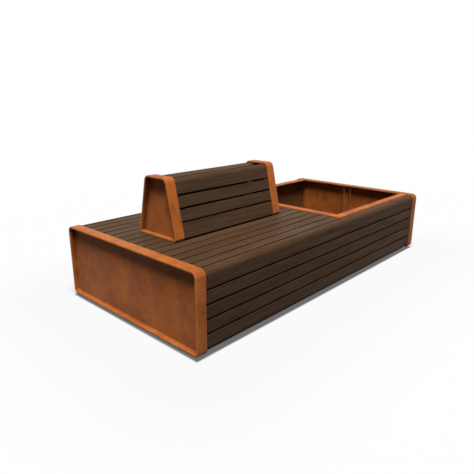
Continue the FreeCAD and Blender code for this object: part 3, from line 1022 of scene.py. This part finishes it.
@dataclass
class ScrewHeads:
    """Geometry Nodes that set a flat round head on every point of a mesh."""

    name: str
    radius: float = 0.007
    height: float = 0.003
    sides: int = 20
    top_share: float = 0.8

    def tree(self, material: bpy.types.Material) -> bpy.types.NodeTree:
        """Build the tree.

        Args:
            material: Finish of the heads.

        Returns:
            The geometry node tree.
        """
        group = bpy.data.node_groups.new(self.name, "GeometryNodeTree")
        inputs = (("Geometry", GEOMETRY), ("Radius", NUMBER), ("Height", NUMBER), ("Sides", COUNT))
        for label, kind in inputs:
            group.interface.new_socket(label, in_out="INPUT", socket_type=kind)
        group.interface.new_socket("Geometry", in_out="OUTPUT", socket_type=GEOMETRY)
        nodes = NodeTree(group)
        given = nodes.add("NodeGroupInput").outputs
        head = nodes.add("GeometryNodeMeshCone", fill_type="NGON")
        top = nodes.math("MULTIPLY", given["Radius"], self.top_share)
        nodes.feed(head.inputs["Vertices"], given["Sides"])
        nodes.feed(head.inputs["Radius Top"], top)
        nodes.feed(head.inputs["Radius Bottom"], given["Radius"])
        nodes.feed(head.inputs["Depth"], given["Height"])
        facing = nodes.add("GeometryNodeInputNamedAttribute", data_type="FLOAT_VECTOR")
        facing.inputs["Name"].default_value = "facing"
        turn = nodes.add("FunctionNodeAlignRotationToVector", axis="Z")
        nodes.feed(turn.inputs["Vector"], facing.outputs[0])
        spread = nodes.add("GeometryNodeInstanceOnPoints")
        nodes.feed(spread.inputs["Points"], given["Geometry"])
        nodes.feed(spread.inputs["Instance"], head.outputs["Mesh"])
        nodes.feed(spread.inputs["Rotation"], turn.outputs[0])
        real = nodes.add("GeometryNodeRealizeInstances")
        nodes.feed(real.inputs[0], spread.outputs[0])
        dress = nodes.add("GeometryNodeSetMaterial")
        nodes.feed(dress.inputs["Geometry"], real.outputs[0])
        dress.inputs["Material"].default_value = material
        nodes.feed(nodes.add("NodeGroupOutput").inputs[0], dress.outputs[0])
        return group

    def build(self, spots: Sequence[tuple[Point, Point]], material: bpy.types.Material) -> None:
        """Set the heads.

        Args:
            spots: Place and outward direction of each head.
            material: Finish of the heads.
        """
        mesh = bpy.data.meshes.new(f"{self.name}_points")
        mesh.from_pydata([place for place, _ in spots], [], [])
        facing = mesh.attributes.new("facing", "FLOAT_VECTOR", "POINT")
        for item, (_, direction) in zip(facing.data, spots):
            item.vector = direction
        working = add_object(f"{self.name}_working", mesh)
        group = self.tree(material)
        modifier = working.modifiers.new("heads", "NODES")
        modifier.node_group = group
        values = {"Radius": self.radius, "Height": self.height, "Sides": self.sides}
        for item in group.interface.items_tree:
            if item.item_type == "SOCKET" and item.in_out == "INPUT" and item.name in values:
                modifier[item.identifier] = values[item.name]
        new_piece(self.name, settle(working, self.name), Slot.ZINC_HARDWARE)


# ------------------------------------------------------------------ sub-assemblies


@dataclass
class Bench:
    """What all the sub-assemblies of the bench share."""

    frame: dict[str, Any]
    effects: SharedEffects
    seat_board_count: int = 14

    def node(self, name: str) -> bpy.types.Object:
        """Return the object of a node."""
        return self.frame["nodes"][name]

    def span(self, name: str) -> Range:
        """Return where a node starts and ends along the bench."""
        low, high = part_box(name)
        return low.x, high.x

    def seat_boards(self) -> list[str]:
        """Return the names of the seat boards, from the front to the back."""
        return [f"seat_board_{number:02d}" for number in range(1, self.seat_board_count + 1)]

    def dress(self, material: bpy.types.Material, *names: str) -> None:
        """Give nodes their finish.

        Args:
            material: The finish.
            names: Names of the nodes.
        """
        for name in names:
            dress_mesh(self.node(name).data, material)
            LOG.info("%s: %s", name, material.name)

    def ease_band(self, name: str, tone: float = 1.0) -> None:
        """Show a band with eased edges and a paler line of painted highlight along them.

        Args:
            name: Name of the band's node.
            tone: How light its rust is.
        """
        finish = RustSteel(f"rusted_steel_{name}", edges=self.span(name), tone=tone)
        EasedBand(name).build(self.node(name), finish.build(self.effects))


@dataclass
class SubAssembly:
    """Pieces of the bench that are made and dressed together."""

    bench: Bench

    def build(self) -> None:
        """Make and dress the pieces."""
        raise NotImplementedError


@dataclass
class SteelEnds(SubAssembly):
    """End bands, end panels and the panels' stiffeners."""

    left_tone: float = 1.0
    right_tone: float = 0.75

    def build(self) -> None:
        """Ease the bands' edges and dress the panels."""
        self.bench.ease_band("left_end_band", self.left_tone)
        self.bench.ease_band("right_end_band", self.right_tone)
        sheet = RustSteel("rusted_steel_end_sheet").build(self.bench.effects)
        self.bench.dress(sheet, "left_end_panel", "right_end_panel")
        self.bench.dress(sheet, "left_panel_channel", "right_panel_channel")


@dataclass
class Planter(SubAssembly):
    """Folded planter walls and floor, darkened by painted shade below the rim."""

    shade_gap: float = 0.006

    def build(self) -> None:
        """Dress the walls and the floor."""
        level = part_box("planter_seat_wall")[1].z - self.shade_gap
        sheet = RustSteel("rusted_steel_planter", painted_shade_level=level).build(self.bench.effects)
        self.bench.dress(sheet, "planter_front_wall", "planter_back_wall")
        self.bench.dress(sheet, "planter_seat_wall", "planter_floor")


@dataclass
class Timber(SubAssembly):
    """All the stained boards: seat, edges, sides and backrest."""

    side_boards: int = 4
    backrest_boards: int = 3
    tones: tuple[float, ...] = (1.0, 0.94, 1.05, 0.97, 1.02)
    tone_step: int = 3
    grain_step: Point = (3.17, 1.71, 2.43)

    def build(self) -> None:
        """Give every board its own grain and a tone that differs a little."""
        for index, name in enumerate(self.boards()):
            board = tuple(index * step for step in self.grain_step)
            tone = self.tones[index * self.tone_step % len(self.tones)]
            finish = StainedTimber(f"stained_timber_{name}", tone=tone, board=board)
            self.bench.dress(finish.build(self.bench.effects), name)

    def boards(self) -> Iterator[str]:
        """Name the boards, the seat's first and then one side after the other.

        Returns:
            The names, one by one.
        """
        yield from self.bench.seat_boards()
        for side in (side.value for side in Side):
            yield f"{side}_edge_board"
            yield from (f"{side}_board_{number + 1}" for number in range(self.side_boards))
            yield from (
                f"backrest_{side}_board_{number + 1}" for number in range(self.backrest_boards)
            )
            yield f"backrest_{side}_cap_board"


@dataclass
class Backrest(SubAssembly):
    """Bands, panels and inner formers of the backrest."""

    def build(self) -> None:
        """Ease the bands' edges and dress the panels and formers."""
        self.bench.ease_band("backrest_left_band")
        self.bench.ease_band("backrest_right_band")
        sheet = RustSteel("rusted_steel_backrest_sheet").build(self.bench.effects)
        self.bench.dress(sheet, "backrest_left_panel", "backrest_right_panel")
        former = BARE_TIMBER.build(self.bench.effects)
        self.bench.dress(former, "backrest_left_former", "backrest_right_former")


@dataclass
class Understructure(SubAssembly):
    """Hidden frame, feet, anchors and the screws that hold the seat boards from below."""

    bearers: tuple[str, ...] = ("cross_bearer_1", "cross_bearer_2", "cross_bearer_3")

    def build(self) -> None:
        """Dress the frame and its feet, and set the screws."""
        primer = FramePaint().build(self.bench.effects)
        self.bench.dress(primer, "front_base_rail", "back_base_rail", *self.bearers)
        self.bench.dress(primer, "frame_posts", "cross_ties", "anchor_brackets")
        zinc = ZincPlate().build(self.bench.effects)
        self.bench.dress(zinc, "levelling_feet")
        ScrewHeads("bearer_screws").build(list(self.screw_spots()), zinc)

    def screw_spots(self) -> Iterator[tuple[Point, Point]]:
        """Find the place of a screw where each seat board crosses each bearer.

        Returns:
            Places on the bearers' undersides with their outward direction, one by one.
        """
        for bearer in self.bearers:
            low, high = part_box(bearer)
            middle = (low.x + high.x) / 2.0
            for board in self.bench.seat_boards():
                front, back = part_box(board)
                yield (middle, (front.y + back.y) / 2.0, low.z), DOWN


# ------------------------------------------------------------------ studio


@dataclass
class Studio:
    """Pale floor, soft high key light, faint surrounding light and the camera."""

    effects: SharedEffects
    floor: StudioFloor
    floor_reach: float = 60.0
    key_strength: float = 3.75
    key_elevation: float = 74.0
    key_azimuth: float = 224.0
    key_angle: float = 26.0
    key_distance: float = 6.0
    surround: float = 0.005
    eye: Point = (-2.48066, -2.01303, 1.20138)
    look: Point = (0.698532, 0.655788, -0.286347)
    sensor: float = 36.0
    lens: float = 35.126
    shift: Range = (0.0053, -0.00453)
    roll: float = 0.00067

    def build(self) -> None:
        """Set the floor, the lights and the camera."""
        self.lay_floor()
        self.hang_key_light()
        self.surround_with_white()
        self.aim_camera()

    def lay_floor(self) -> None:
        """Lay a white floor that keeps the bench's shadow and fades into the background."""
        corners = ((-1.0, -1.0), (1.0, -1.0), (1.0, 1.0), (-1.0, 1.0))
        mesh = bpy.data.meshes.new("studio_floor")
        points = [(x * self.floor_reach, y * self.floor_reach, 0.0) for x, y in corners]
        mesh.from_pydata(points, [], [(0, 1, 2, 3)])
        mesh.materials.append(self.floor.build(self.effects))
        floor = add_object("studio_floor", mesh)
        floor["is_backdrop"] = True

    def hang_key_light(self) -> None:
        """Hang the high key light."""
        lamp = bpy.data.lights.new("key_light", "SUN")
        lamp.energy = self.key_strength
        lamp.angle = math.radians(self.key_angle)
        key = add_object("key_light", lamp)
        up, turn = math.radians(self.key_elevation), math.radians(self.key_azimuth)
        level = math.cos(up)
        source = Vector((level * math.cos(turn), level * math.sin(turn), math.sin(up)))
        key.location = source * self.key_distance
        key.rotation_euler = (-source).to_track_quat("-Z", "Y").to_euler()

    def surround_with_white(self) -> None:
        """Set a world that looks white and gives the bench only a faint light."""
        world = bpy.data.worlds.new("studio_world")
        bpy.context.scene.world = world
        world.use_nodes = True
        nodes = NodeTree(world.node_tree)
        nodes.tree.nodes.clear()
        path = nodes.add("ShaderNodeLightPath").outputs
        seen = nodes.math("MAXIMUM", path["Is Camera Ray"], path["Is Transmission Ray"])
        seen = nodes.math("MAXIMUM", seen, path["Is Glossy Ray"])
        mixed = nodes.add("ShaderNodeMixShader")
        nodes.feed(mixed.inputs[0], seen)
        for socket, strength in zip(mixed.inputs[1:], (self.surround, 1.0)):
            background = nodes.add("ShaderNodeBackground")
            background.inputs["Color"].default_value = WHITE
            background.inputs["Strength"].default_value = strength
            nodes.feed(socket, background.outputs[0])
        nodes.feed(nodes.add("ShaderNodeOutputWorld").inputs["Surface"], mixed.outputs[0])

    def aim_camera(self) -> None:
        """Set up the camera."""
        data = bpy.data.cameras.new("camera")
        data.sensor_width = self.sensor
        data.lens = self.lens
        data.shift_x, data.shift_y = self.shift
        camera = add_object("camera", data)
        camera.location = self.eye
        aim = Vector(self.look).to_track_quat("-Z", "Y")
        camera.rotation_euler = (aim @ Quaternion((0.0, 0.0, 1.0), self.roll)).to_euler()
        bpy.context.scene.camera = camera
        bpy.context.scene.view_settings.view_transform = "Standard"


def as_lists(bounds: Sequence[Sequence[float]]) -> list[list[float]]:
    """Return a box as plain lists of numbers."""
    return [[float(number) for number in corner] for corner in bounds]


def main() -> None:
    """Build the looks of the bench around its frame."""
    logging.basicConfig(level=logging.INFO, format="%(name)s: %(message)s")
    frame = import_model()
    cad_box = as_lists(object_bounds())
    bench = Bench(frame, SharedEffects())
    for kind in (SteelEnds, Planter, Timber, Backrest, Understructure):
        LOG.info("building %s", kind.__name__)
        kind(bench).build()
    half_length, half_width, _ = cad_box[1]
    Studio(bench.effects, StudioFloor((half_length, half_width))).build()


if __name__ == "__main__":
    main()
